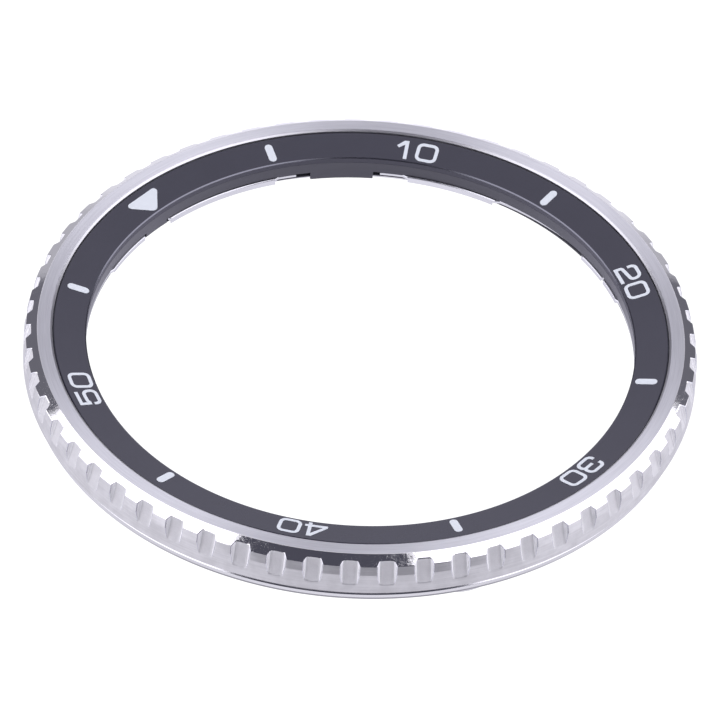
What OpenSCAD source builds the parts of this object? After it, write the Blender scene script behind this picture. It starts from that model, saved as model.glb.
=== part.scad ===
// Rotating bezel for a diver's watch, as an assembly of its separate pieces.
// Frame: Z runs up along the axis of rotation, Z = 0 is the plane of the three
// lug tips that the unit stands on, and the zero marker is at +Y. All in mm.

/* [Bezel ring] */
// Outside diameter of the skirt
skirt_d = 40; // [39.8:0.1:40.4]
// Height of the rim's top face above the lug tips
rim_z = 3.26; // [3.24:0.01:3.3]
// Height of the skirt's lower edge above the lug tips
skirt_z = 0.87; // [0.86:0.01:0.9]
// Outer radius of the brushed rim, where the polished bevel starts
rim_r = 19.2; // [19.1:0.05:19.3]
// Radius at the lower edge of the polished bevel
bevel_r = 19.86; // [19.8:0.01:19.88]
// Height of the lower edge of the polished bevel
bevel_z = 2.82; // [2.75:0.01:2.9]

/* [Grip notches] */
// Number of grip notches round the skirt
notches = 58; // [48:1:60]
// Angle from the zero marker to the nearest notch centre, clockwise
notch_phase = 0.78; // [0:0.01:6]
// Width of a notch's flat floor
notch_w = 0.82; // [0.6:0.02:1]
// Slope of a notch's sides, from the floor's normal
notch_side = 34.6; // [15:0.1:38]
// Radius where a notch starts on the bevel
notch_top_r = 19.556; // [19.45:0.005:19.65]
// Height where a notch runs out on the wall
notch_end_z = 1.54; // [1.4:0.01:1.8]

/* [Insert] */
// Outside diameter of the dial insert
insert_d = 36.46; // [36.4:0.02:36.5]
// Inside diameter of the dial insert and of the sleeve's wall
bore_d = 32.56; // [32.5:0.02:32.6]
// Height of the insert's surface at its inner edge
insert_in_z = 2.755; // [2.74:0.005:2.78]
// Height of the insert's surface at its outer edge
insert_out_z = 3.12; // [3.08:0.01:3.15]
// How far the filled marks stand above the insert
mark_proud = 0.02; // [0:0.005:0.04]
// Depth of the engraving under the marks
mark_deep = 0.05; // [0.03:0.01:0.08]

/* [Marks] */
// Radius of the middle of the numerals and bars
mark_r = 17.18; // [17.1:0.02:17.3]
// Height of a numeral, along the radius
digit_h = 1.39; // [1.34:0.01:1.42]
// Width of a numeral
digit_w = 1.34; // [1.32:0.01:1.42]
// Stroke width of the numerals
stroke = 0.21; // [0.18:0.01:0.26]
// Angle between the two digits of a numeral
digit_pitch = 5.15; // [5:0.05:5.4]
// Length of a minute bar
bar_l = 1.31; // [1.2:0.01:1.4]
// Width of a minute bar
bar_w = 0.48; // [0.4:0.01:0.6]

/* [Retaining spring] */
// Height of the spring's flat section
spring_h = 0.22; // [0.18:0.01:0.22]
// Radial width of the spring's flat section
spring_t = 0.4; // [0.36:0.01:0.4]
// Inner radius of the snap arcs, which stand proud of the wall
snap_r = 16.16; // [16.1:0.01:16.2]

/* [Click work] */
// Number of teeth on the ratchet ring
teeth = 120; // [60:60:120]
// Height of a ratchet tooth
tooth_h = 0.2; // [0.15:0.01:0.22]
// Length of a click leaf
leaf_l = 5; // [4.5:0.1:5.2]
// Width of a click leaf
leaf_w = 0.45; // [0.35:0.05:0.45]
// Thickness of the spring washer and its leaves
leaf_t = 0.12; // [0.1:0.01:0.14]

/* [Base ring] */
// Outside diameter of the base ring
base_d = 39.46; // [39.4:0.02:39.5]
// Inside diameter of the base ring, which centres on the case
base_bore_d = 35.3; // [35.25:0.05:35.4]
// Height of a locating lug below the base ring
lug_h = 0.13; // [0.12:0.01:0.16]
// Thickness of the base ring's flange
flange_t = 0.46; // [0.44:0.01:0.47]
// Running clearance between the collar and the skirt, on the radius
run_gap = 0.06; // [0.03:0.01:0.08]

/* [Hidden] */

steel = [0.76, 0.76, 0.79];
polished = [0.86, 0.86, 0.88];
black = [0.09, 0.09, 0.11];
charcoal = [0.25, 0.25, 0.28];
white = [0.88, 0.91, 0.96];
spring_steel = [0.72, 0.72, 0.75];
dark_steel = [0.45, 0.45, 0.48];
rubber = [0.05, 0.05, 0.05];

// Heights and radii that the pieces share
skirt_r = skirt_d / 2;
wall_z = 2.24;                    // where the wall's upper facet starts
seat_z = 2.34;                    // the insert's seat in the steel ring
glue_t = 0.06;
insert_z = seat_z + glue_t;       // flat underside of the insert
insert_r = insert_d / 2;
seat_r = insert_r + 0.07;         // inner wall of the rim
cham_r = insert_r - 0.05;         // inner edge of the insert's outer chamfer
bore_r = bore_d / 2;
sleeve_r = 17.1;                  // outside of the sleeve, pressed in the ring
sleeve_z = 1.27;                  // lower edge of the sleeve
key_z = 1.18;                     // lower end of its main key
cav_in = 17.5;                    // cavity between the sleeve's wall and the skirt
cav_out = 19.3;
cav_z = 2.12;
groove_z0 = 1.44;
groove_z1 = 1.7;
groove_r = 16.98;
lip_r = 16.32;
sp_z = (groove_z0 + groove_z1 - spring_h) / 2;
base_r = base_d / 2;
base_bore = base_bore_d / 2;
fl_z0 = lug_h;
fl_z1 = lug_h + flange_t;
collar_r = cav_out - run_gap;
leaf_r = 18.39;                   // mean radius of the click work
leaf_x = leaf_r - 0.085;          // a straight leaf lies a little inside it
rat_z0 = 1.5;                     // lowest plane of the ratchet teeth
slope = (insert_out_z - insert_in_z) / (cham_r - bore_r);

function surf(r) = insert_in_z + (r - bore_r) * slope;

// A path's corners rounded by arcs: pts = [[x, y, radius], ...], open or closed
function unit(v) = v / norm(v);
function corner(a, b, c, r, n = 8) =
    let (u = unit([a[0] - b[0], a[1] - b[1]]), v = unit([c[0] - b[0], c[1] - b[1]]),
         cosf = u * v, half = acos(cosf) / 2, d = r / tan(half),
         m = unit(u + v), o = [b[0], b[1]] + m * (r / sin(half)),
         p = [b[0], b[1]] + u * d, q = [b[0], b[1]] + v * d,
         a0 = atan2(p[1] - o[1], p[0] - o[0]), a1r = atan2(q[1] - o[1], q[0] - o[0]),
         da = (a1r - a0 > 180) ? a1r - a0 - 360 : (a1r - a0 < -180) ? a1r - a0 + 360 : a1r - a0)
    [for (i = [0 : n]) o + r * [cos(a0 + da * i / n), sin(a0 + da * i / n)]];
function flat2(l) = [for (a = l) for (b = a) b];
function rounded(p) = flat2([for (i = [0 : len(p) - 1])
    let (a = p[(i + len(p) - 1) % len(p)], c = p[(i + 1) % len(p)])
    p[i][2] > 0 ? corner(a, p[i], c, p[i][2]) : [[p[i][0], p[i][1]]]]);
function open_path(p) = flat2([for (i = [0 : len(p) - 1])
    (i > 0 && i < len(p) - 1 && p[i][2] > 0) ? corner(p[i - 1], p[i], p[i + 1], p[i][2])
                                             : [[p[i][0], p[i][1]]]]);
function perp(v) = [-v[1], v[0]];
// One side of a stroke along an open path, at a signed distance d
function side(q, d) = [for (i = [0 : len(q) - 1])
    let (t0 = unit(i > 0 ? q[i] - q[i - 1] : q[1] - q[0]),
         t1 = unit(i < len(q) - 1 ? q[i + 1] - q[i] : q[i] - q[i - 1]),
         m = unit(perp(t0) + perp(t1)))
    q[i] + m * (d / (m * perp(t1)))];
function rev(l) = [for (i = [len(l) - 1 : -1 : 0]) l[i]];

module line2(p) {
    q = open_path(p);
    polygon(concat(side(q, stroke / 2), rev(side(q, -stroke / 2))));
}
module area2(p) polygon(rounded(p));

// Plain squarish digits in a cell digit_w by digit_h, centred on the origin
cw = (digit_w - stroke) / 2;
ch = (digit_h - stroke) / 2;
module digit(n) {
    if (n == 0) difference() {
        area2([[-digit_w / 2, -digit_h / 2, 0.4], [digit_w / 2, -digit_h / 2, 0.4],
               [digit_w / 2, digit_h / 2, 0.4], [-digit_w / 2, digit_h / 2, 0.4]]);
        area2([[-cw + stroke / 2, -ch + stroke / 2, 0.19], [cw - stroke / 2, -ch + stroke / 2, 0.19],
               [cw - stroke / 2, ch - stroke / 2, 0.19], [-cw + stroke / 2, ch - stroke / 2, 0.19]]);
    }
    if (n == 1) polygon([[0.24, digit_h / 2], [0.24, -digit_h / 2], [0.02, -digit_h / 2],
                         [0.02, 0.41], [-0.335, 0.13], [-0.46, 0.28], [-0.04, digit_h / 2]]);
    if (n == 2) line2([[-0.5, 0.13, 0], [-0.5, ch, 0.27], [0.56, ch, 0.32], [0.56, 0.01, 0.22],
                       [-0.56, -0.2, 0.16], [-cw, -ch, 0], [digit_w / 2, -ch, 0]]);
    if (n == 3) {
        line2([[-0.52, 0.2, 0], [-0.52, ch, 0.27], [0.55, ch, 0.3], [0.55, -0.01, 0.16], [-0.17, -0.01, 0]]);
        line2([[-0.17, -0.01, 0], [cw, -0.01, 0.2], [cw, -ch, 0.3], [-cw, -ch, 0.27], [-cw, -0.21, 0]]);
    }
    if (n == 4) difference() {
        polygon([[0.2, digit_h / 2], [0.48, digit_h / 2], [0.48, -0.28], [digit_w / 2, -0.28],
                 [digit_w / 2, -0.49], [0.48, -0.49], [0.48, -digit_h / 2], [0.27, -digit_h / 2],
                 [0.27, -0.49], [-0.62, -0.49], [-digit_w / 2, -0.45], [-digit_w / 2, -0.3]]);
        polygon([[0.27, 0.42], [0.27, -0.28], [-0.39, -0.28]]);
    }
    if (n == 5) {
        line2([[0.55, ch, 0], [-0.55, ch, 0], [-0.55, -0.04, 0]]);
        line2([[-0.5, 0.03, 0], [-0.3, 0.15, 0.18], [cw, 0.15, 0.3], [cw, -ch, 0.3],
               [-0.57, -ch, 0.27], [-0.57, -0.2, 0]]);
    }
}

// A numeral's two digits, their tops pointing outwards
module numeral2(tens) {
    if (tens == 1) rotate([0, 0, -60]) {
        rotate([0, 0, 2.6]) translate([0, mark_r]) digit(1);
        rotate([0, 0, -2.13]) translate([0, mark_r]) digit(0);
    }
    else rotate([0, 0, -60 * tens]) {
        rotate([0, 0, digit_pitch / 2]) translate([0, mark_r]) digit(tens);
        rotate([0, 0, -digit_pitch / 2]) translate([0, mark_r]) digit(0);
    }
}
module triangle2() translate([0, mark_r])
    area2([[-1.5, 0.585, 0.2], [0, -0.84, 0.36], [1.5, 0.585, 0.2]]);
module bar2(m) rotate([0, 0, -6 * m]) translate([0, mark_r]) {
    square([bar_w, bar_l - bar_w], center = true);
    for (s = [-1, 1]) translate([0, s * (bar_l - bar_w) / 2]) circle(d = bar_w, $fn = 48);
}

// A thin conical skin of the insert, from below its surface to above it
module skin(lo, hi) rotate_extrude($fn = 180)
    polygon([[bore_r + 0.1, surf(bore_r + 0.1) + lo], [cham_r - 0.02, surf(cham_r - 0.02) + lo],
             [cham_r - 0.02, surf(cham_r - 0.02) + hi], [bore_r + 0.1, surf(bore_r + 0.1) + hi]]);
module mark(proud) intersection() {
    translate([0, 0, 2.4]) linear_extrude(1.2) children();
    skin(-mark_deep, proud);
}

module notch() {
    run = skirt_r - 0.01 - notch_top_r;
    top_z = rim_z - (notch_top_r - rim_r) * (rim_z - bevel_z) / (bevel_r - rim_r);
    lean = atan(run / (top_z - notch_end_z));
    out = notch_w / 2 + 0.8 * tan(notch_side);
    translate([notch_top_r, 0, top_z]) rotate([0, -lean, 0]) translate([0, 0, -2.2])
        linear_extrude(3) polygon([[0, -notch_w / 2], [0.8, -out], [0.8, out], [0, notch_w / 2]]);
}

module bezel_ring() color(steel) difference() {
    rotate_extrude($fn = 360) polygon([
        [cav_out, skirt_z], [skirt_r - 0.05, skirt_z], [skirt_r, skirt_z + 0.05],
        [skirt_r - 0.02, wall_z], [bevel_r, bevel_z], [rim_r, rim_z],
        [seat_r + 0.12, rim_z], [seat_r, rim_z - 0.13], [seat_r, seat_z],
        [sleeve_r, seat_z], [sleeve_r, sleeve_z], [cav_in, sleeve_z], [cav_in, cav_z],
        [cav_out, cav_z], [cav_out, 1.84], [cav_out + 0.18, 1.76],
        [cav_out + 0.18, 1.34], [cav_out, 1.26]]);
    for (i = [0 : notches - 1]) rotate([0, 0, 90 - notch_phase + i * 360 / notches]) notch();
}

module insert() color(black) difference() {
    rotate_extrude($fn = 360) polygon([
        [bore_r, insert_z], [insert_r, insert_z], [insert_r, insert_out_z - 0.03],
        [cham_r, insert_out_z], [bore_r + 0.05, surf(bore_r + 0.05)], [bore_r, insert_in_z - 0.045]]);
    mark(0.2) triangle2();
    for (t = [1 : 5]) mark(0.2) numeral2(t);
    for (m = [5 : 10 : 55]) mark(0.2) bar2(m);
}

module insert_adhesive() color(rubber) rotate_extrude($fn = 360)
    polygon([[sleeve_r + 0.05, seat_z], [seat_r, seat_z], [seat_r, insert_out_z - 0.09],
             [insert_r, insert_out_z - 0.09], [insert_r, insert_z], [sleeve_r + 0.05, insert_z]]);

module triangle_marker() color(white) mark(mark_proud) triangle2();
module numeral_10() color(white) mark(mark_proud) numeral2(1);
module numeral_20() color(white) mark(mark_proud) numeral2(2);
module numeral_30() color(white) mark(mark_proud) numeral2(3);
module numeral_40() color(white) mark(mark_proud) numeral2(4);
module numeral_50() color(white) mark(mark_proud) numeral2(5);
module minute_bar(m) color(white) mark(mark_proud) bar2(m);

// Ring sector between two azimuths, from a rectangle in the radial plane
module sector(r0, r1, z0, z1, a0, a1) rotate([0, 0, a0])
    rotate_extrude(angle = a1 - a0, $fn = 360) translate([r0, z0]) square([r1 - r0, z1 - z0]);

// The sleeve's main key sits in the spring's gap, the bridge spans the spring
key_a = [38.6, 52.1];
bridge_a = [87.2, 93.7];
module inner_sleeve() color(charcoal) difference() {
    union() {
        rotate_extrude($fn = 360) polygon([
            [bore_r, sleeve_z + 0.13], [lip_r + 0.25, sleeve_z], [sleeve_r, sleeve_z],
            [sleeve_r, insert_z], [bore_r, insert_z]]);
        sector(bore_r + 0.01, sleeve_r - 0.1, key_z, groove_z1, key_a[0] + 0.05, key_a[1] - 0.05);
    }
    for (a = [[key_a[1], bridge_a[0]], [bridge_a[1], key_a[0] + 360]]) rotate([0, 0, a[0]])
        rotate_extrude(angle = a[1] - a[0], $fn = 360) polygon([
            [bore_r - 0.5, sleeve_z - 0.5], [lip_r, sleeve_z - 0.5], [lip_r, groove_z0],
            [groove_r, groove_z0], [groove_r, groove_z1], [bore_r - 0.5, groove_z1]]);
    sector(bore_r + 0.15, groove_r - 0.02, groove_z0 + 0.01, groove_z1 - 0.01,
           bridge_a[0] - 0.5, bridge_a[1] + 0.5);
}

// Spring arcs: start azimuth, end azimuth, inner radius at both ends; short jogs
// join them. It starts at one side of the key and runs round to the other side.
flush_r = bore_r + 0.02;
deep_r = bore_r + 0.24;
arcs = [[55.2, 59.2, flush_r, flush_r], [59.9, 86.3, snap_r, snap_r], [87.1, 93.8, deep_r, deep_r],
        [94.6, 107, snap_r, snap_r], [108.5, 160, flush_r, flush_r], [162, 194, snap_r, snap_r],
        [196, 229, flush_r, flush_r], [231, 264, snap_r, snap_r], [266, 329.5, flush_r, flush_r],
        [330.3, 336.9, snap_r, snap_r], [337.3, 337.5, flush_r, flush_r], [337.9, 345.8, snap_r, snap_r],
        [346.7, 370, flush_r + 0.14, flush_r], [371, 391.1, snap_r, snap_r], [392.3, 397.1, flush_r, flush_r]];
// Tabs bent down from the snap arcs: start azimuth, end azimuth, lower edge
tabs = [[59.9, 86.3, 1.26], [94.6, 107, 1.38], [162, 194, 1.26], [231, 264, 1.26],
        [330.3, 336.9, 1.38], [337.9, 345.8, 1.38], [371.6, 391.1, 1.26]];
function pol(r, a) = [r * cos(a), r * sin(a)];
function strip_edge(d) = [for (a = arcs) let (n = ceil((a[1] - a[0]) / 1.5)) for (i = [0 : n])
    pol(a[2] + (a[3] - a[2]) * i / n + d, a[0] + (a[1] - a[0]) * i / n)];
module retaining_spring() color(spring_steel) {
    translate([0, 0, sp_z]) linear_extrude(spring_h)
        polygon(concat(strip_edge(0), rev(strip_edge(spring_t))));
    for (t = tabs) sector(snap_r + 0.01, snap_r + 0.1, t[2], sp_z + spring_h / 2, t[0] + 0.1, t[1] - 0.1);
}

// Teeth point down. A steep face looks clockwise, so the leaves let the bezel
// turn anticlockwise only.
module ratchet_ring() color(dark_steel) {
    pitch = 360 / teeth;
    ro = collar_r - 0.32;
    ramp = 0.9 * leaf_r * sin(pitch);
    difference() {
        sector(cav_in + 0.02, ro, rat_z0, cav_z, 0, 360);
        for (i = [0 : teeth - 1]) rotate([0, 0, i * pitch]) rotate([90, 0, 90])
            translate([0, 0, cav_in - 0.6]) linear_extrude(ro - cav_in + 1.2)
                polygon([[0, rat_z0 - 0.1], [0, rat_z0 + tooth_h], [-ramp, rat_z0], [-ramp, rat_z0 - 0.1]]);
    }
}

// Lug: a shallow rounded foot under the flange's outer edge
lugs = [0, 120, 240];
module lug() {
    rr = 2.6;
    intersection() {
        translate([0, 0, rr]) rotate([0, 90, 0]) translate([0, 0, base_r - 0.55])
            cylinder(r = rr, h = 0.5, $fn = 90);
        translate([base_r - 0.6, -1, -0.1]) cube([0.6, 2, fl_z0 + 0.2]);
    }
}
rivets = [112, 232, 352];
rivet_r = 0.22;
module base_ring() color(polished) {
    difference() {
        rotate_extrude($fn = 360) polygon([
            [base_bore, fl_z0], [base_r - 0.04, fl_z0], [base_r, fl_z0 + 0.16],
            [base_r, fl_z1 - 0.09], [base_r - 0.09, fl_z1],
            [collar_r, fl_z1], [collar_r, 1.31], [collar_r + 0.16, 1.39],
            [collar_r + 0.16, 1.56], [collar_r, 1.72], [collar_r - 0.26, 1.72],
            [collar_r - 0.26, fl_z1], [base_bore, fl_z1]]);
        for (a = rivets) rotate([0, 0, a]) translate([leaf_r, 0, 0])
            cylinder(r = rivet_r, h = 1, $fn = 32);
    }
    for (a = lugs) rotate([0, 0, a]) lug();
}

module gasket() color(rubber) sector(collar_r + 0.02, base_r - 0.21, fl_z1, skirt_z - 0.02, 0, 360);

// Click leaves: cut from the washer on three sides and bent up, straight in
// plan. A leaf's root lies clockwise of its tip, and the tip stands just short
// of a steep tooth face at azimuth leaf_a.
leaf_a = [60, 180, 300];
tip_gap = 0.05;
leaf_mid = atan(leaf_l / 2 / leaf_x) + (tip_gap + 0.03) / leaf_r * 180 / PI;
tip_z = rat_z0 + tooth_h - 0.045;
module leaf_place(a) rotate([0, 0, a - leaf_mid]) translate([leaf_x, 0, 0]) children();
module click_spring() color(spring_steel) difference() {
    sector(base_bore + 0.21, collar_r - 0.3, fl_z1, fl_z1 + leaf_t, 0, 360);
    for (a = leaf_a) leaf_place(a)
        translate([-leaf_w / 2 - 0.04, -leaf_l / 2, fl_z1 - 0.1]) cube([leaf_w + 0.08, leaf_l + 0.25, 0.5]);
    for (a = rivets) rotate([0, 0, a]) translate([leaf_r, 0, 0]) cylinder(r = rivet_r, h = 1, $fn = 32);
}
// Side view of a leaf: distance from the tip, height
module click_leaf(a) color(spring_steel) leaf_place(a)
    translate([leaf_w / 2, leaf_l / 2, 0]) rotate([90, 0, -90]) linear_extrude(leaf_w)
        polygon([[leaf_l - 0.02, fl_z1 + leaf_t], [0.45, rat_z0 - 0.05], [0.15, tip_z - 0.035], [0, tip_z],
                 [0, tip_z - 0.18], [0.11, tip_z - 0.18], [0.42, rat_z0 - 0.17], [leaf_l - 0.02, fl_z1]]);

module spring_rivets() color(dark_steel) for (a = rivets) rotate([0, 0, a]) translate([leaf_r, 0, 0]) {
    translate([0, 0, fl_z0]) cylinder(r = rivet_r, h = flange_t + leaf_t, $fn = 32);
    translate([0, 0, fl_z1 + leaf_t]) cylinder(r = 0.36, h = 0.14, $fn = 32);
}

bezel_ring();
insert();
insert_adhesive();
triangle_marker();
numeral_10();
numeral_20();
numeral_30();
numeral_40();
numeral_50();
minute_bar(5);  // minute_bar_05
minute_bar(15);  // minute_bar_15
minute_bar(25);  // minute_bar_25
minute_bar(35);  // minute_bar_35
minute_bar(45);  // minute_bar_45
minute_bar(55);  // minute_bar_55
inner_sleeve();
retaining_spring();
ratchet_ring();
base_ring();
gasket();
click_spring();
spring_rivets();
click_leaf(leaf_a[0]);  // click_leaf_1
click_leaf(leaf_a[1]);  // click_leaf_2
click_leaf(leaf_a[2]);  // click_leaf_3
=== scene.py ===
# Rotating bezel for a diver's watch: the looks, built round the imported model.
# Lengths in the tables below are in mm, Blender's are in metres. The ring's azimuth
# runs from +X towards +Y, and the zero marker is at +Y.
import math

import bpy
import numpy as np
from mathutils import Matrix, Vector

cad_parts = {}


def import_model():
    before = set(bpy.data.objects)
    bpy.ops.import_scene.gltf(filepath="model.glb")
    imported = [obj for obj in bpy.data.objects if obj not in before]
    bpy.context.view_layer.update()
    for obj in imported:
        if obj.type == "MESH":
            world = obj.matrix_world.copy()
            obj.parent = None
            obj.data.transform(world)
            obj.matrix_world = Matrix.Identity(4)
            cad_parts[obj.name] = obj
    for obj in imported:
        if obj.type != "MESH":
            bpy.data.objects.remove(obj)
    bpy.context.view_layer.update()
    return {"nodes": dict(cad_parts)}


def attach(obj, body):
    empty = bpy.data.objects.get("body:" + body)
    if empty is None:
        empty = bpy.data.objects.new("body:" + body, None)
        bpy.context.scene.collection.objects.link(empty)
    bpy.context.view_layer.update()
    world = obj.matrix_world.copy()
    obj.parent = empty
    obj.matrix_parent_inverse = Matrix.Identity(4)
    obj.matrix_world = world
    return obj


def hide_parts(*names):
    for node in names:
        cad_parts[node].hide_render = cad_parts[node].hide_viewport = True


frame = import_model()
nodes = frame["nodes"]
MM = 0.001

# ------------------------------------------------------------------ node graphs


class Val:
    """A socket with arithmetic."""

    def __init__(self, g, s):
        self.g, self.s = g, s

    def __add__(self, o):
        return self.g.math("ADD", self, o)

    def __radd__(self, o):
        return self.g.math("ADD", o, self)

    def __sub__(self, o):
        return self.g.math("SUBTRACT", self, o)

    def __rsub__(self, o):
        return self.g.math("SUBTRACT", o, self)

    def __mul__(self, o):
        return self.g.math("MULTIPLY", self, o)

    def __rmul__(self, o):
        return self.g.math("MULTIPLY", o, self)

    def __truediv__(self, o):
        return self.g.math("DIVIDE", self, o)


class Graph:
    def __init__(self, tree):
        self.t = tree
        tree.nodes.clear()

    def put(self, socket, v):
        if isinstance(v, Val):
            v = v.s
        if isinstance(v, bpy.types.NodeSocket):
            self.t.links.new(v, socket)
        else:
            socket.default_value = v

    def node(self, kind, inputs=None, **props):
        n = self.t.nodes.new(kind)
        for k, v in props.items():
            setattr(n, k, v)
        for k, v in (inputs or {}).items():
            self.put(n.inputs[k], v)
        return n

    def math(self, op, *a):
        n = self.node("ShaderNodeMath", operation=op)
        for i, v in enumerate(a):
            self.put(n.inputs[i], v)
        return Val(self, n.outputs[0])

    def step(self, v, lo, hi, a=0.0, b=1.0):
        n = self.node("ShaderNodeMapRange",
                      {"Value": v, "From Min": lo, "From Max": hi, "To Min": a, "To Max": b},
                      interpolation_type="SMOOTHSTEP")
        return Val(self, n.outputs[0])

    def lerp(self, a, b, t):
        return a + (b - a) * t

    def split(self, v):
        n = self.node("ShaderNodeSeparateXYZ", {"Vector": v})
        return [Val(self, n.outputs[i]) for i in range(3)]

    def vec(self, x, y, z):
        n = self.node("ShaderNodeCombineXYZ", {"X": x, "Y": y, "Z": z})
        return Val(self, n.outputs[0])

    def noise(self, v, scale=1.0, detail=2.0, rough=0.5, w=None, distort=0.0):
        n = self.node("ShaderNodeTexNoise", {"Vector": v, "Scale": scale, "Detail": detail,
                                             "Roughness": rough, "Distortion": distort} if w is None else {},
                      noise_dimensions="3D" if w is None else "4D")
        if w is not None:
            for k, q in (("Vector", v), ("W", w), ("Scale", scale), ("Detail", detail),
                         ("Roughness", rough), ("Distortion", distort)):
                self.put(n.inputs[k], q)
        return Val(self, n.outputs[0])


class Finish(Graph):
    """A Principled material with the ring's own coordinates, in mm."""

    def __init__(self, name, base, metallic, rough, **sockets):
        m = bpy.data.materials.new(name)
        m.use_nodes = True
        super().__init__(m.node_tree)
        self.m = m
        self.b = self.node("ShaderNodeBsdfPrincipled")
        self.out = self.node("ShaderNodeOutputMaterial", {"Surface": self.b.outputs[0]})
        self.b.inputs["Base Color"].default_value = (*base, 1)
        self.b.inputs["Metallic"].default_value = metallic
        self.b.inputs["Roughness"].default_value = rough
        for k, v in sockets.items():
            self.b.inputs[k.replace("_", " ")].default_value = v
        m.diffuse_color = (*base, 1)
        p = self.node("ShaderNodeVectorMath", operation="SCALE")
        self.put(p.inputs[0], self.node("ShaderNodeTexCoord").outputs["Object"])
        p.inputs["Scale"].default_value = 1000.0
        self.p = Val(self, p.outputs[0])
        self.x, self.y, self.z = self.split(self.p)
        self.r = self.math("SQRT", self.x * self.x + self.y * self.y)
        self.cx, self.cy = self.x / self.r, self.y / self.r

    def rings(self, along, across, detail=2.0, rough=0.5, seed=0.0):
        """Noise drawn out round the axis: along per radian, across per mm of radius and height."""
        v = self.vec(self.cx * along, self.cy * along, self.r * across)
        return self.noise(v, 1.0, detail, rough, w=self.z * across + seed)

    def colour(self, a, b, t):
        n = self.node("ShaderNodeMix", data_type="RGBA")
        self.put(n.inputs[0], t)
        self.put(n.inputs[6], (*a, 1))
        self.put(n.inputs[7], (*b, 1))
        self.put(self.b.inputs["Base Color"], n.outputs[2])
        return self

    def roughness(self, a, b, t):
        self.put(self.b.inputs["Roughness"], self.lerp(a, b, t))
        return self

    def bump(self, height_mm):
        n = self.node("ShaderNodeBump", {"Strength": 1.0, "Distance": MM, "Height": height_mm})
        self.put(self.b.inputs["Normal"], n.outputs[0])
        return self

    def brushed_round(self):
        t = self.node("ShaderNodeTangent", direction_type="RADIAL", axis="Z")
        self.put(self.b.inputs["Tangent"], t.outputs[0])
        return self


# ------------------------------------------------------------------ finishes


def rim_finish():
    f = Finish("rim_brushed_in_circles", (0.635, 0.635, 0.645), 1.0, 0.50,
               Anisotropic=0.88, Anisotropic_Rotation=0.25)
    fine = f.rings(9.0, 24.0, 2.0, 0.6)
    broad = f.rings(2.5, 5.0, 2.0, 0.5, 7.0)
    f.colour((0.595, 0.595, 0.605), (0.675, 0.675, 0.685), f.step(fine * 0.6 + broad * 0.4, 0.36, 0.64))
    f.roughness(0.47, 0.53, broad)
    f.bump(fine * 0.0003)
    return f.brushed_round().m


def bevel_finish():
    f = Finish("bevel_polished", (0.79, 0.785, 0.755), 1.0, 0.05)
    wave = f.noise(f.p, 1.6, 3.0, 0.6)
    streak = f.rings(30.0, 3.0, 3.0, 0.6, 3.0)
    pit = f.noise(f.p, 14.0, 2.0, 0.6)
    f.bump(wave * 0.0030 + streak * 0.0016 + f.step(pit, 0.62, 0.80) * 0.0012)
    f.roughness(0.04, 0.12, f.step(f.noise(f.p, 3.0, 4.0, 0.65), 0.40, 0.72))
    return f.m


def wall_finish():
    f = Finish("wall_satin", (0.61, 0.605, 0.594), 1.0, 0.36, Anisotropic=0.46, Anisotropic_Rotation=0.25)
    lines = f.rings(5.0, 9.0, 3.0, 0.6)
    fine = f.rings(14.0, 30.0, 1.0, 0.5, 5.0)
    cloud = f.noise(f.p, 0.9, 3.0, 0.6)
    f.colour((0.555, 0.551, 0.540), (0.665, 0.660, 0.648), f.step(lines * 0.45 + cloud * 0.55, 0.36, 0.64))
    f.roughness(0.32, 0.40, cloud)
    f.bump(lines * 0.0016 + fine * 0.0005)
    return f.brushed_round().m


def notch_finish(name, grey):
    f = Finish(name, (grey, grey - 0.004, grey - 0.016), 0.40, 0.80, IOR=1.5)
    grain = f.noise(f.p, 22.0, 2.0, 0.6)
    cloud = f.noise(f.p, 2.2, 3.0, 0.6)
    lo, hi = grey - 0.03, grey + 0.03
    f.colour((lo, lo - 0.004, lo - 0.016), (hi, hi - 0.004, hi - 0.016), f.step(grain * 0.5 + cloud * 0.5, 0.36, 0.64))
    f.roughness(0.76, 0.84, cloud)
    f.bump(grain * 0.0010)
    return f.m


def edge_finish():
    f = Finish("notch_edge_worn_bright", (0.62, 0.62, 0.63), 1.0, 0.22)
    f.roughness(0.16, 0.30, f.noise(f.p, 4.0, 3.0, 0.6))
    return f.m


def seat_finish():
    f = Finish("seat_fine_turned", (0.62, 0.62, 0.63), 1.0, 0.48)
    f.bump(f.rings(3.0, 16.0, 2.0, 0.5) * 0.0012)
    f.roughness(0.44, 0.54, f.noise(f.p, 1.5, 3.0, 0.6))
    return f.m


def lip_finish():
    f = Finish("rim_inner_chamfer", (0.56, 0.557, 0.552), 1.0, 0.35)
    f.roughness(0.26, 0.34, f.noise(f.p, 4.0, 3.0, 0.6))
    f.bump(f.rings(3.0, 16.0, 2.0, 0.5) * 0.0006)
    return f.m


def turned_finish():
    f = Finish("ring_turned_inside", (0.46, 0.46, 0.47), 1.0, 0.38)
    f.bump(f.rings(3.0, 14.0, 2.0, 0.5) * 0.003)
    f.roughness(0.32, 0.48, f.noise(f.p, 1.5, 3.0, 0.6))
    return f.m


def insert_finish():
    f = Finish("insert_black_lacquer", (0.024, 0.0235, 0.036), 0.0, 0.16, IOR=1.5)
    cloud = f.noise(f.p, 0.35, 3.0, 0.6)
    grain = f.noise(f.p, 30.0, 1.0, 0.5)
    f.colour((0.021, 0.0205, 0.032), (0.027, 0.0265, 0.040), cloud)
    f.roughness(0.13, 0.20, f.noise(f.p, 1.2, 3.0, 0.6))
    f.bump(grain * 0.00012 + cloud * 0.002)
    return f.m


def bore_edge_finish():
    f = Finish("insert_edge_cut", (0.16, 0.16, 0.18), 1.0, 0.22)
    f.roughness(0.18, 0.26, f.noise(f.p, 5.0, 3.0, 0.6))
    return f.m


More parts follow.
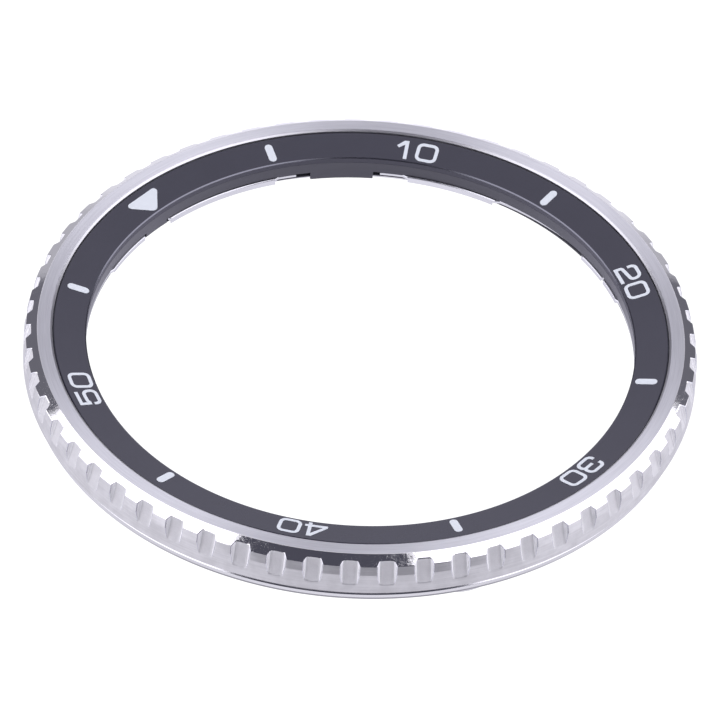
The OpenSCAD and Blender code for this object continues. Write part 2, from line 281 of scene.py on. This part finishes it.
def bore_wall_finish():
    f = Finish("insert_bore_wall", (0.095, 0.094, 0.112), 0.0, 0.70, IOR=1.3)
    f.bump(f.noise(f.p, 18.0, 2.0, 0.6) * 0.0012)
    return f.m


def mark_finish():
    f = Finish("mark_white_fill", (0.645, 0.680, 0.685), 0.0, 0.42, IOR=1.5)
    f.colour((0.625, 0.660, 0.665), (0.665, 0.700, 0.705), f.noise(f.p, 3.0, 3.0, 0.6))
    f.bump(f.noise(f.p, 16.0, 2.0, 0.5) * 0.0008)
    return f.m


def sleeve_finish():
    f = Finish("sleeve_charcoal", (0.074, 0.073, 0.088), 0.0, 0.33, IOR=1.5)
    f.colour((0.066, 0.065, 0.079), (0.082, 0.081, 0.097), f.rings(4.0, 6.0, 2.0, 0.5))
    f.bump(f.noise(f.p, 18.0, 2.0, 0.6) * 0.0016)
    return f.m


def spring_finish():
    f = Finish("spring_bright_strip", (0.66, 0.66, 0.665), 1.0, 0.16)
    f.roughness(0.12, 0.26, f.noise(f.p, 2.0, 3.0, 0.6))
    f.bump(f.rings(6.0, 16.0, 2.0, 0.6) * 0.0010)
    return f.m


def base_finish():
    f = Finish("base_polished", (0.64, 0.637, 0.628), 1.0, 0.14)
    f.roughness(0.10, 0.20, f.noise(f.p, 1.4, 3.0, 0.6))
    f.bump(f.rings(4.0, 10.0, 2.0, 0.5) * 0.0012)
    return f.m


def ratchet_finish():
    f = Finish("ratchet_satin", (0.36, 0.36, 0.37), 1.0, 0.40)
    f.colour((0.30, 0.30, 0.31), (0.42, 0.42, 0.43), f.noise(f.p, 2.0, 3.0, 0.6))
    f.bump(f.noise(f.p, 12.0, 2.0, 0.6) * 0.001)
    return f.m


def leaf_finish():
    f = Finish("leaf_rolled_strip", (0.66, 0.66, 0.67), 1.0, 0.26)
    f.colour((0.60, 0.60, 0.61), (0.72, 0.72, 0.73), f.noise(f.p, 2.5, 3.0, 0.6))
    f.bump(f.noise(f.p, 10.0, 2.0, 0.6) * 0.0008)
    return f.m


def rubber_finish():
    f = Finish("gasket_black_rubber", (0.022, 0.022, 0.026), 0.0, 0.55, IOR=1.5)
    f.roughness(0.46, 0.66, f.noise(f.p, 3.0, 3.0, 0.6))
    f.bump(f.noise(f.p, 20.0, 2.0, 0.6) * 0.0012)
    return f.m


def film_finish():
    f = Finish("adhesive_film", (0.020, 0.020, 0.025), 0.0, 0.55, IOR=1.4)
    f.bump(f.noise(f.p, 6.0, 2.0, 0.6) * 0.004)
    return f.m


RIM, BEVEL, WALL = rim_finish(), bevel_finish(), wall_finish()
# the notches' flanks use a lighter copy of the frosted finish (grey 0.86 against 0.66 on the floors): painted light,
# lifting the shade that falls on their steep sides
NOTCH, FLANK_PAINTED_LIGHT, EDGE = notch_finish("notch_frosted", 0.66), notch_finish("notch_flank_painted_lighter", 0.86), edge_finish()
TURNED, SEAT, LIP = turned_finish(), seat_finish(), lip_finish()
BORE_EDGE, BORE_WALL = bore_edge_finish(), bore_wall_finish()
INSERT, MARK, SLEEVE, SPRING = insert_finish(), mark_finish(), sleeve_finish(), spring_finish()
BASE, RATCHET, LEAF, RUBBER, FILM = base_finish(), ratchet_finish(), leaf_finish(), rubber_finish(), film_finish()

# ------------------------------------------------------------------ meshes


def cyl(r, a, z):
    """Points in mm from radius, azimuth in degrees and height."""
    a = np.radians(a)
    return np.stack(np.broadcast_arrays(r * np.cos(a), r * np.sin(a), z), -1)


def piece(name, verts, normals, faces, slots, mats, body, replaces):
    me = bpy.data.meshes.new(name)
    me.from_pydata((np.asarray(verts, float) * MM).tolist(), [], faces)
    for m in mats:
        me.materials.append(m)
    me.polygons.foreach_set("material_index", np.asarray(slots, np.int32))
    me.polygons.foreach_set("use_smooth", np.ones(len(me.polygons), bool))
    me.update()
    me.normals_split_custom_set_from_vertices(np.asarray(normals, float).tolist())
    ob = bpy.data.objects.new(name, me)
    bpy.context.scene.collection.objects.link(ob)
    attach(ob, body)
    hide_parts(replaces)
    return ob


def rounded(pts):
    """A closed anticlockwise profile [(r, z, corner radius, slot), ...] with arcs at its corners.
    Gives points, outward normals and, for the edge after each point, its slot."""
    P, N, S = [], [], []
    n = len(pts)
    for i in range(n):
        a, b, c = (np.array(pts[j][:2], float) for j in ((i - 1) % n, i, (i + 1) % n))
        rad, slot = pts[i][2], pts[i][3]
        u, v = (a - b) / np.linalg.norm(a - b), (c - b) / np.linalg.norm(c - b)
        half = math.acos(max(-1.0, min(1.0, float(u @ v)))) / 2
        turn = (-u[0]) * v[1] - (-u[1]) * v[0]
        m = (u + v) / np.linalg.norm(u + v)
        o = b + m * rad / math.sin(half)
        p0, p1 = b + u * rad / math.tan(half), b + v * rad / math.tan(half)
        a0, a1 = math.atan2(*(p0 - o)[::-1]), math.atan2(*(p1 - o)[::-1])
        da = (a1 - a0 + math.pi) % (2 * math.pi) - math.pi
        k = max(2, int(math.ceil(abs(math.degrees(da)) / 18)))
        for s in range(k + 1):
            q = a0 + da * s / k
            d = np.array([math.cos(q), math.sin(q)])
            P.append(o + rad * d)
            N.append(d if turn > 0 else -d)
            S.append(slot if s == k else (pts[i][4] if len(pts[i]) > 4 else slot))
    return np.array(P), np.array(N), S


def strip(a, b, wrap=True):
    """Quads between two rings of vertex numbers; a, then b along the profile."""
    n = len(a)
    m = n if wrap else n - 1
    return [(a[j], a[(j + 1) % n], b[(j + 1) % n], b[j]) for j in range(m)]


def revolve(name, prof, seg, mats, body, replaces):
    P, N, S = rounded(prof)
    az = np.arange(seg) * 360.0 / seg
    V = cyl(P[:, None, 0], az[None, :], P[:, None, 1]).reshape(-1, 3)
    M = cyl(N[:, None, 0], az[None, :], N[:, None, 1]).reshape(-1, 3)
    F, K = [], []
    k = len(P)
    for i in range(k):
        j = (i + 1) % k
        F += strip(np.arange(seg) + i * seg, np.arange(seg) + j * seg)
        K += [S[i]] * seg
    return piece(name, V, M, F, K, mats, body, replaces)


# ---------------------------------------------------------- steel ring with notches
NOTCHES, PHASE = 58, 0.78
PITCH = 360.0 / NOTCHES
RIM_Z, RIM_R, BEV_Z, BEV_R = 3.26, 19.2, 2.82, 19.86
WALL_Z, WALL_R, SKIRT_R, SKIRT_Z = 2.24, 19.98, 20.0, 0.87
NW, SIDE = 0.82, math.radians(34.6)       # a notch's floor width and its sides' slope
TOP_R, END_R, END_Z, HOLLOW = 19.556, 19.99, 1.54, 0.045
TOP_Z = RIM_Z - (TOP_R - RIM_R) * (RIM_Z - BEV_Z) / (BEV_R - RIM_R)
LEAN = math.atan((END_R - TOP_R) / (TOP_Z - END_Z))
KP = math.cos(LEAN) * math.tan(SIDE)


def smin(a, b, k):
    h = np.maximum(k - np.abs(a - b), 0) / k
    return np.minimum(a, b) - h * h * k / 4


def outer(z):
    """Radius of the ring's outside without notches; its two edges are eased."""
    z = np.asarray(z, float)
    m0 = (WALL_R - SKIRT_R) / (WALL_Z - 1.0)
    m1 = (BEV_R - WALL_R) / (BEV_Z - WALL_Z)
    m2 = (RIM_R - BEV_R) / (RIM_Z - BEV_Z)
    r = SKIRT_R + (z - 1.0) * m0
    for z0, a, b, h in ((WALL_Z, m0, m1, 0.03), (BEV_Z, m1, m2, 0.022)):
        t = np.clip(z - z0, -h, h)
        r = r + (b - a) * np.where(z > z0 + h, z - z0, (t + h) ** 2 / (4 * h))
    return r


def floor_x(z):
    """Distance of a notch's floor from the axis: a shallow hollow from the bevel down to the wall."""
    t = (TOP_Z - z) / (TOP_Z - END_Z)
    return TOP_R + (END_R - TOP_R) * t - 4 * HOLLOW * t * (1 - t)


def notch_r(phi, z):
    """Radius of a notch's surface at angle phi in degrees from its middle."""
    p = np.radians(phi)
    xf = floor_x(z)
    floor = xf / np.cos(p)
    side = (NW / 2 - xf * KP) / (np.abs(np.sin(p)) - KP * np.cos(p))
    return -smin(-floor, -side, 0.09)


def ring_r(phi, z):
    return smin(outer(z), notch_r(phi, z), 0.05)


def columns(z):
    """Angles from a notch's middle that follow its outline at height z, for one whole pitch."""
    xf = float(np.clip(floor_x(z), 19.5, 20.0))
    R = float(outer(z))
    pf = math.degrees(math.atan(NW / 2 / xf))
    po = math.degrees(math.atan(KP) + math.asin((NW / 2 - xf * KP) / R / math.hypot(1, KP)))
    po = max(po, pf + 0.07)
    e = min(1.0, 1.6 * (po - pf))
    h = [0.55 * pf, pf - 0.07, pf, pf + 0.07 * e, pf + 0.5 * (po - pf) - 0.03 * e, po - 0.13 * e, po - 0.06 * e,
         po, po + 0.05, po + 0.11, (po + PITCH / 2) / 2 + 0.02]
    return np.array([0.0] + h + [PITCH / 2] + [PITCH - q for q in reversed(h)])


def bezel_ring():
    rows, nrm, az, slots = [], [], [], []      # one entry a row: r, normal, azimuth, slot of the band above it
    start = 90.0 - PHASE

    def sweep(z):
        c = columns(z)
        return c, (start + (np.arange(NOTCHES)[:, None] * PITCH + c[None, :])).ravel()

    def plain(r, z, nr, nz, slot, zc=None):
        c, a = sweep(z if zc is None else zc)
        rows.append((np.full(len(a), r), np.full(len(a), z)))
        nrm.append(cyl(nr, a, nz))
        az.append(a)
        slots.append(slot)

    def corner(a, b, c, rad, k, inner, after, zc):
        a, b, c = (np.array(q, float) for q in (a, b, c))
        u, v = (a - b) / np.linalg.norm(a - b), (c - b) / np.linalg.norm(c - b)
        half = math.acos(float(u @ v)) / 2
        o = b + (u + v) / np.linalg.norm(u + v) * rad / math.sin(half)
        p0, p1 = b + u * rad / math.tan(half) - o, b + v * rad / math.tan(half) - o
        a0 = math.atan2(p0[1], p0[0])
        da = (math.atan2(p1[1], p1[0]) - a0 + math.pi) % (2 * math.pi) - math.pi
        for s in range(k + 1):
            d = np.array([math.cos(a0 + da * s / k), math.sin(a0 + da * s / k)])
            q = o + rad * d
            plain(q[0], q[1], d[0], d[1], after if s == k else inner, zc)

    # fine rows, from the foot of the skirt to the rim's top
    plain(SKIRT_R - 0.075, SKIRT_Z, 0, -1, 4, 1.2)
    corner((19.5, SKIRT_Z), (SKIRT_R, SKIRT_Z), (SKIRT_R - 0.001, 1.3), 0.06, 5, 2, 2, 1.2)
    zs = [1.03, 1.44, 1.49, 1.51, 1.53, 1.545, 1.56, 1.58, 1.61, 1.66, 1.75, 1.87, 2.02, 2.16,
          2.21, 2.225, 2.24, 2.255, 2.27, 2.32, 2.42, 2.53, 2.64, 2.73, 2.785, 2.80, 2.813, 2.827, 2.842, 2.86,
          2.89, 2.93, 2.965, 2.99, 3.005, 3.015, 3.024, 3.033, 3.045, 3.07]
    for z in zs:
        c, a = sweep(z)
        phi = np.tile((c + PITCH / 2) % PITCH - PITCH / 2, NOTCHES)
        r = ring_r(phi, z)
        dp, dz = 2e-3, 4e-4
        ra = (ring_r(phi + dp, z) - ring_r(phi - dp, z)) / (2 * math.radians(dp))
        rz = (ring_r(phi, z + dz) - ring_r(phi, z - dz)) / (2 * dz)
        t = np.radians(a)
        er, et = np.stack([np.cos(t), np.sin(t), 0 * t], -1), np.stack([-np.sin(t), np.cos(t), 0 * t], -1)
        n = er - (ra / r)[:, None] * et - rz[:, None] * np.array([0, 0, 1.0])
        rows.append((r, np.full(len(a), z)))
        nrm.append(n / np.linalg.norm(n, axis=1, keepdims=True))
        az.append(a)
        zm = z + 0.01
        cut = notch_r(phi, zm) < outer(zm) - 0.004
        deep = bool(notch_r(0.0, zm) < outer(zm) - 0.03)
        slots.append(("cut", cut, 1 if z >= 2.82 - 0.01 else 2, deep))
    plain(outer(3.16), 3.16, 0.5547, 0.8321, 1, 3.2)
    corner((BEV_R, BEV_Z), (RIM_R, RIM_Z), (18.9, RIM_Z), 0.035, 3, 1, 0, 3.2)
    plain(19.17, RIM_Z, 0, 1, 0, 3.2)
    fine = NOTCHES * len(columns(2.0))
    V = [cyl(r, a, z) for (r, z), a in zip(rows, az)]
    F, K = [], []
    ids = [np.arange(fine) + i * fine for i in range(len(rows))]
    for i in range(len(rows) - 1):
        F += strip(ids[i], ids[i + 1])
        s = slots[i]
        if isinstance(s, tuple):
            both = s[1] & np.roll(s[1], -1)
            k = np.where(both, 3, s[2])
            col = np.arange(fine) % 24
            # slot 6, the flanks: the lighter frosted copy, painted light on the notch sides
            k[both & np.isin(col, (3, 4, 5, 18, 19, 20))] = 6
            if s[3]:
                k[np.isin(col, (6, 7, 8, 9, 14, 15, 16, 17))] = 7
            K += k.tolist()
        else:
            K += [s] * fine
    base = len(rows) * fine
    # coarse rows: rim's top, its inner chamfer, the inside, and back under the skirt
    prof = [(19.10, RIM_Z, None, 0), (18.43, RIM_Z, 0.10, 8, 0), (18.30, 3.165, 0.012, 5), (18.30, 2.34, 0.03, 4),
            (17.1, 2.34, 0.02, 4), (17.1, 1.27, 0.02, 4), (17.5, 1.27, 0.03, 4), (17.5, 2.12, 0.04, 4),
            (19.3, 2.12, 0.04, 4), (19.3, 1.84, 0.02, 4), (19.48, 1.76, 0.02, 4), (19.48, 1.34, 0.02, 4),
            (19.3, 1.26, 0.02, 4), (19.3, SKIRT_Z, 0.03, 4), (19.86, SKIRT_Z, None, 4)]
    pts = [(p[0], p[1], p[2] or 0.001, *p[3:]) for p in prof]
    P, N, S = rounded(pts)
    # the two open ends carry three arc points each: keep only the outermost one
    keep = np.ones(len(P), bool)
    d = np.hypot(P[:, 0] - 19.10, P[:, 1] - RIM_Z) < 0.01
    e = np.hypot(P[:, 0] - 19.86, P[:, 1] - SKIRT_Z) < 0.01
    keep[d | e] = False
    P, N, S = P[keep], N[keep], [s for s, q in zip(S, keep) if q]
    P = np.vstack([[19.10, RIM_Z], P, [19.86, SKIRT_Z]])
    N = np.vstack([[0, 1.0], N, [0, -1.0]])
    S = [0] + S + [4]
    coarse = NOTCHES * 6
    ca = start + np.arange(coarse) * 360.0 / coarse
    for (r, z), (nr, nz) in zip(P, N):
        V.append(cyl(r, ca, z))
        nrm.append(cyl(nr, ca, nz))
    cid = [base + i * coarse + np.arange(coarse) for i in range(len(P))]
    for i in range(len(P) - 1):
        F += strip(cid[i], cid[i + 1])
        K += [S[i]] * coarse
    step = fine // coarse
    for fine_row, coarse_row, up in ((ids[-1], cid[0], True), (ids[0], cid[-1], False)):
        for j in range(coarse):
            f = [fine_row[(j * step + q) % fine] for q in range(step + 1)]
            c = [coarse_row[(j + 1) % coarse], coarse_row[j]]
            F.append(f + c if up else list(reversed(f + c)))
            K.append(0 if up else 4)
    return piece("steel_ring", np.concatenate(V), np.concatenate(nrm), F, K,
                 [RIM, BEVEL, WALL, NOTCH, TURNED, SEAT, FLANK_PAINTED_LIGHT, EDGE, LIP], "bezel", "bezel_ring")


bezel_ring()

# ------------------------------------------------------------------ dial insert
BORE, IN_Z, OUT_Z, CHAM, INS_R, INS_Z = 16.28, 2.755, 3.12, 18.18, 18.23, 2.40
SLOPE = (OUT_Z - IN_Z) / (CHAM - BORE)
revolve("dial_insert",
        [(BORE, INS_Z, 0.015, 0), (INS_R, INS_Z, 0.02, 0), (INS_R, OUT_Z - 0.03, 0.015, 0), (CHAM, OUT_Z, 0.03, 0),
         (BORE + 0.07, IN_Z + 0.07 * SLOPE, 0.010, 1, 0), (BORE, IN_Z - 0.040, 0.012, 2, 1)],
        720, [INSERT, BORE_EDGE, BORE_WALL], "bezel", "insert")

# ------------------------------------------------------------------ base ring with its lugs
FL0, FL1, COL = 0.13, 0.59, 19.24


def base_ring():
    prof = [(17.65, FL0, 0.03, 0), (19.69, FL0, 0.02, 0), (19.73, FL0 + 0.16, 0.03, 0), (19.73, FL1 - 0.09, 0.02, 0),
            (19.64, FL1, 0.02, 0), (COL, FL1, 0.02, 0), (COL, 1.31, 0.01, 0),
            (COL + 0.16, 1.39, 0.03, 0), (COL + 0.16, 1.56, 0.03, 0), (COL, 1.72, 0.02, 0), (COL - 0.26, 1.72, 0.03, 0),
            (COL - 0.26, FL1, 0.03, 0), (17.65, FL1, 0.03, 0)]
    P, N, S = rounded(prof)
    seg = 720
    a = np.arange(seg) * 360.0 / seg
    V = [cyl(P[:, None, 0], a[None, :], P[:, None, 1]).reshape(-1, 3)]
    M = [cyl(N[:, None, 0], a[None, :], N[:, None, 1]).reshape(-1, 3)]
    F = []
    for i in range(len(P)):
        F += strip(np.arange(seg) + i * seg, np.arange(seg) + ((i + 1) % len(P)) * seg)
    base = len(P) * seg
    # lugs: a shallow rounded foot, its ends running out in the flange
    RR, r0, r1, e = 2.6, 19.18, 19.68, 0.05
    ys = np.linspace(-0.97, 0.97, 41)
    for turn in (0, 120, 240):
        t = math.radians(turn)
        rot = np.array([[math.cos(t), -math.sin(t), 0], [math.sin(t), math.cos(t), 0], [0, 0, 1]])
        grid, gn = [], []
        for y in ys:
            zb = RR - math.sqrt(RR * RR - y * y)
            sy = y / RR
            for x, z, nx, nz in ([(r0, 0.30, -1, 0)] + [
                    (r0 + e - e * math.cos(q), zb + e - e * math.sin(q), -math.cos(q), -math.sin(q))
                    for q in np.radians([0, 22.5, 45, 67.5, 90])] + [
                    (r1 - e + e * math.sin(q), zb + e - e * math.cos(q), math.sin(q), -math.cos(q))
                    for q in np.radians([0, 22.5, 45, 67.5, 90])] + [(r1, 0.30, 1, 0)]):
                n = np.array([nx, sy * -nz if nz else 0.0, nz])
                grid.append((x, y, min(z, 0.30)))
                gn.append(n / np.linalg.norm(n))
        k = len(grid) // len(ys)
        V.append(np.array(grid) @ rot.T)
        M.append(np.array(gn) @ rot.T)
        idx = base + np.arange(len(ys) * k).reshape(len(ys), k)
        for i in range(len(ys) - 1):
            for j in range(k - 1):
                F.append((idx[i, j], idx[i + 1, j], idx[i + 1, j + 1], idx[i, j + 1]))
            F.append((idx[i, k - 1], idx[i + 1, k - 1], idx[i + 1, 0], idx[i, 0]))
        F.append([int(q) for q in idx[0]])
        F.append([int(q) for q in idx[-1][::-1]])
        base += len(ys) * k
    return piece("base_flange_ring", np.concatenate(V), np.concatenate(M), F, [0] * len(F), [BASE],
                 "base", "base_ring")


base_ring()

# ------------------------------------------------------------------ gasket
revolve("gasket_ring", [(COL + 0.02, FL1, 0.03, 0), (19.52, FL1, 0.09, 0), (19.52, 0.85, 0.09, 0),
                        (COL + 0.02, 0.85, 0.03, 0)], 360, [RUBBER], "base", "gasket")

# ------------------------------------------------------------------ retaining spring
FLUSH, SNAP, DEEP = 16.30, 16.16, 16.52
ARCS = [(55.2, 59.2, FLUSH, FLUSH), (59.9, 86.3, SNAP, SNAP), (87.1, 93.8, DEEP, DEEP), (94.6, 107, SNAP, SNAP),
        (108.5, 160, FLUSH, FLUSH), (162, 194, SNAP, SNAP), (196, 229, FLUSH, FLUSH), (231, 264, SNAP, SNAP),
        (266, 329.5, FLUSH, FLUSH), (330.3, 336.9, SNAP, SNAP), (337.3, 337.5, FLUSH, FLUSH),
        (337.9, 345.8, SNAP, SNAP), (346.7, 370, FLUSH + 0.14, FLUSH), (371, 391.1, SNAP, SNAP),
        (392.3, 397.1, FLUSH, FLUSH)]
TABS = [(59.9, 86.3, 1.26), (94.6, 107, 1.38), (162, 194, 1.26), (231, 264, 1.26), (330.3, 336.9, 1.38),
        (337.9, 345.8, 1.38), (371.6, 391.1, 1.26)]     # bent down from the snap arcs: from, to, lower edge


def spring_path(a):
    """Inner radius of the spring at azimuth a: the arcs, joined by smooth jogs."""
    r = np.full(a.shape, ARCS[0][2], float)
    for p, q in zip(ARCS, ARCS[1:] + ARCS[-1:]):
        r += (p[3] - p[2]) * np.clip((a - p[0]) / (p[1] - p[0]), 0, 1)
        lo, hi = p[1] - 0.1, q[0] + 0.1
        t = np.clip((a - lo) / abs(hi - lo), 0, 1)
        r += (q[2] - p[3]) * t * t * (3 - 2 * t)
    return r


def spring():
    a0, a1 = ARCS[0][0], ARCS[-1][1]
    a = [a0]
    while a[-1] < a1 - 1e-6:
        q = a[-1]
        near = any(p[1] - 0.6 < q < n[0] + 0.6 for p, n in zip(ARCS, ARCS[1:]))
        a.append(min(a1, q + (0.10 if near else 0.9)))
    a = np.array(a)
    rad = spring_path(a)
    sl = np.gradient(rad, np.radians(a)) / (rad + 0.2)
    z0, h, t, e = 1.46, 0.22, 0.40, 0.05
    P, N, _ = rounded([(0, z0, e, 0), (t, z0, e, 0), (t, z0 + h, e, 0), (0, z0 + h, e, 0)])
    V = cyl(rad[None, :] + P[:, None, 0], a[None, :], P[:, None, 1])
    tr = np.radians(a)
    er = np.stack([np.cos(tr), np.sin(tr), 0 * tr], -1)
    et = np.stack([-np.sin(tr), np.cos(tr), 0 * tr], -1)
    n0 = (er - sl[:, None] * et) / np.sqrt(1 + sl ** 2)[:, None]
    M = n0[None] * N[:, None, 0, None] + np.array([0, 0, 1.0]) * N[:, None, 1, None]
    k, m = len(P), len(a)
    V, M = V.reshape(-1, 3), M.reshape(-1, 3)
    F = []
    for i in range(k):
        F += strip(np.arange(m) + i * m, np.arange(m) + ((i + 1) % k) * m, wrap=False)
    c0 = [i * m for i in range(k)]
    c1 = [i * m + m - 1 for i in range(k)]
    V2 = np.vstack([V, V[c0], V[c1]])
    M2 = np.vstack([M, np.repeat(-et[:1], k, 0), np.repeat(et[-1:], k, 0)])
    b = len(V)
    F.append([b + i for i in range(k)])
    F.append([b + k + i for i in reversed(range(k))])
    for p, q, low in TABS:
        P, N, _ = rounded([(-0.004, low, 0.02, 0), (0.10, low, 0.02, 0), (0.10, z0 + 0.18, 0.02, 0),
                           (-0.004, z0 + 0.18, 0.03, 0)])
        s = np.linspace(p + 0.05, q - 0.05, max(3, int(q - p)))
        n, b = len(s), len(V2)
        T = cyl(SNAP + P[:, None, 0], s[None, :], P[:, None, 1]).reshape(-1, 3)
        TN = cyl(N[:, None, 0], s[None, :], N[:, None, 1]).reshape(-1, 3)
        for i in range(len(P)):
            F += strip(b + np.arange(n) + i * n, b + np.arange(n) + ((i + 1) % len(P)) * n, wrap=False)
        e0, e1 = np.radians(s[0]), np.radians(s[-1])
        V2 = np.vstack([V2, T, T[[i * n for i in range(len(P))]], T[[i * n + n - 1 for i in range(len(P))]]])
        M2 = np.vstack([M2, TN, np.tile([math.sin(e0), -math.cos(e0), 0], (len(P), 1)),
                        np.tile([-math.sin(e1), math.cos(e1), 0], (len(P), 1))])
        c = b + len(T)
        F.append([c + i for i in range(len(P))])
        F.append([c + len(P) + i for i in reversed(range(len(P)))])
    return piece("snap_spring", V2, M2, F, [0] * len(F), [SPRING], "bezel", "retaining_spring")


spring()

# ------------------------------------------------------------------ CAD pieces that stay
FINISHES = {"insert_adhesive": FILM, "inner_sleeve": SLEEVE, "ratchet_ring": RATCHET, "spring_rivets": RATCHET,
            "click_spring": LEAF, "click_leaf_1": LEAF, "click_leaf_2": LEAF, "click_leaf_3": LEAF}
for name, ob in nodes.items():
    if ob.hide_render:
        continue
    m = FINISHES.get(name, MARK)
    ob.data.materials.clear()
    ob.data.materials.append(m)

# ------------------------------------------------------------------ floor, light, camera
YAW = math.radians(50.72)                 # the picture's frame, turned from the ring's


def world():
    w = bpy.data.worlds.new("soft_tent")
    bpy.context.scene.world = w
    w.use_nodes = True
    g = Graph(w.node_tree)
    d = g.node("ShaderNodeVectorRotate", {"Vector": g.node("ShaderNodeTexCoord").outputs["Generated"],
                                          "Angle": YAW}, rotation_type="Z_AXIS")
    x, y, z = g.split(d.outputs[0])
    el = g.math("ARCSINE", z) * (180 / math.pi)
    az = g.math("MODULO", g.math("ARCTAN2", y, x) * (180 / math.pi) + 360.0, 360.0)
    turned = g.math("MODULO", az + 180.0, 360.0)

    def window(v, a, b, s=1.5):
        return g.step(v, a - s, a + s) * (1.0 - g.step(v, b - s, b + s))

    sky = g.step(el, 9.4, 20.4, 0.52, 1.0)
    gap_l = window(az, 123.0, 153.3) * (1.0 - g.step(el, 38.8, 49.4))
    gap_r = window(az, 36.0, 63.5) * (1.0 - g.step(el, 36.0, 46.0))
    sky = g.lerp(sky, 0.165, g.math("MAXIMUM", gap_l, gap_r))
    low = window(az, 222.0, 318.0, 8.0) * g.step(el, -3.0, 6.0) * (1.0 - g.step(el, 18.0, 32.0))
    sky = g.lerp(sky, 1.8, low)
    panel = g.math("MAXIMUM", window(az, 153.0, 250.0), window(turned, 118.0, 216.5))
    sky = g.lerp(sky, 2.0, panel)
    up = g.math("MAXIMUM", z, 0.02)
    cx, cy = x / up, y / up
    wedge = (g.step(cx - (cy + 0.27) * 0.635, -0.411, -0.371)
             * (1.0 - g.step(cx + (cy + 0.332) * 1.172, 0.179, 0.219)) * (1.0 - g.step(cy, -0.02, 0.06)))
    sky = g.lerp(sky, 0.083, wedge)
    far = window(az, 28.0, 152.0, 8.0) * g.step(el, -62.0, -50.0)
    far = far * (1.0 - window(az, 75.0, 105.0, 4.0) * (1.0 - g.step(el, -24.0, -20.0)))
    floor = g.lerp(g.lerp(0.98, 1.09, window(az, 224.0, 316.0, 14.0)), 0.88, far)
    floor = g.lerp(floor, 0.25, window(az, 232.0, 316.0, 6.0) * g.step(el, -33.4, -18.4))
    floor = floor * g.step(el, -71.6, -52.4, 0.39, 1.0)
    light = g.lerp(floor, sky, g.step(el, -12.7, -5.9))
    seen = g.node("ShaderNodeLightPath").outputs["Is Camera Ray"]
    tint = g.node("ShaderNodeCombineColor", {"Red": light * 1.0, "Green": light * 0.985, "Blue": light * 1.10 + 0.025})
    mix = g.node("ShaderNodeMix", data_type="RGBA")
    g.put(mix.inputs[0], seen)
    g.put(mix.inputs[6], tint.outputs[0])
    g.put(mix.inputs[7], (1.15, 1.15, 1.15, 1))
    bg = g.node("ShaderNodeBackground", {"Color": mix.outputs[2], "Strength": 1.0})
    g.node("ShaderNodeOutputWorld", {"Surface": bg.outputs[0]})
    w.cycles.sampling_method = "MANUAL"
    w.cycles.sample_map_resolution = 1024


def floor():
    me = bpy.data.meshes.new("floor")
    s = 3.0
    me.from_pydata([(-s, -s, 0), (s, -s, 0), (s, s, 0), (-s, s, 0)], [], [(0, 1, 2, 3)])
    ob = bpy.data.objects.new("floor", me)
    bpy.context.scene.collection.objects.link(ob)
    m = bpy.data.materials.new("floor_white")
    m.use_nodes = True
    g = Graph(m.node_tree)
    e = g.node("ShaderNodeEmission", {"Color": (1.15, 1.15, 1.15, 1), "Strength": 1.0})
    t = g.node("ShaderNodeBsdfTransparent")
    mix = g.node("ShaderNodeMixShader", {0: g.node("ShaderNodeNewGeometry").outputs["Backfacing"]})
    g.put(mix.inputs[1], e.outputs[0])
    g.put(mix.inputs[2], t.outputs[0])
    g.node("ShaderNodeOutputMaterial", {"Surface": mix.outputs[0]})
    me.materials.append(m)
    ob.visible_diffuse = ob.visible_glossy = ob.visible_transmission = ob.visible_shadow = False


def camera():
    el, dist = math.radians(42.02), 0.4703
    target = Vector((0.018, -2.53, 3.20)) * MM
    right, up = Vector((1, 0, 0)), Vector((0, math.sin(el), math.cos(el)))
    fwd = Vector((0, math.cos(el), -math.sin(el)))
    c, s = math.cos(math.radians(3.11)), math.sin(math.radians(3.11))
    r2, u2 = right * c + up * s, up * c - right * s
    turn = Matrix.Rotation(-YAW, 3, "Z")
    m = Matrix((turn @ r2, turn @ u2, turn @ -fwd)).transposed().to_4x4()
    m.translation = turn @ (target - fwd * dist)
    cam = bpy.data.cameras.new("camera")
    cam.lens, cam.sensor_width, cam.sensor_fit = 398.5, 36.0, "HORIZONTAL"
    cam.clip_start, cam.clip_end = 0.01, 20.0
    ob = bpy.data.objects.new("camera", cam)
    bpy.context.scene.collection.objects.link(ob)
    ob.matrix_world = m
    bpy.context.scene.camera = ob


world()
floor()
camera()
bpy.context.scene.view_settings.view_transform = "Standard"
bpy.context.view_layer.update()
